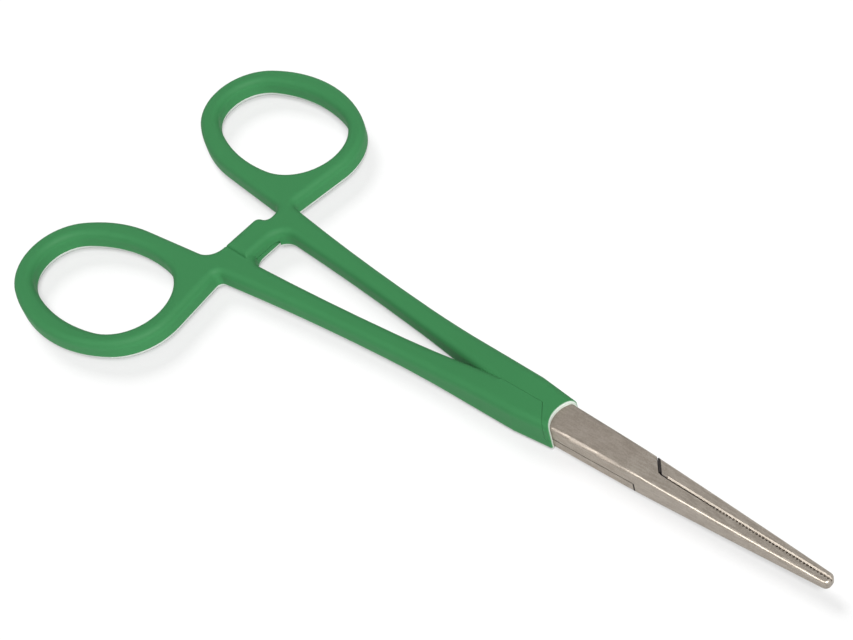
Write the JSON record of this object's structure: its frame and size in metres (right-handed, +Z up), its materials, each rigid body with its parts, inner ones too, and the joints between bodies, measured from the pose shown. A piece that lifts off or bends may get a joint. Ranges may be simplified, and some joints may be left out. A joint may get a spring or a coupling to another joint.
{
  "type": "hemostatic forceps",
  "caption": "Straight ring-handled locking forceps with serrated jaws, a riveted lap joint, a ratchet catch and plastic-coated handles.",
  "frame": {"origin": "on the surface it lies on, under the middle of its overall length and width", "axes": "+X towards the jaws' tips, +Y towards the ring of the top half, +Z up, along the pivot"},
  "size_m": [0.1396, 0.0652, 0.0058],
  "materials": {
    "steel": "satin",
    "rivet_steel": "satin",
    "handle_coating": "semi-gloss"
  },
  "bodies": {
    "top": {"top_half": "steel", "top_half_coating": "handle_coating", "pivot_rivet": "rivet_steel"},
    "bottom": {"bottom_half": "steel", "bottom_half_coating": "handle_coating"}
  },
  "joints": [
    {"name": "pivot", "type": "hinge", "parent": "top", "child": "bottom", "pos_m": [0.03271, 0, 0], "axis": [0, 0, 1], "range_deg": [0, 60]}
  ]
}
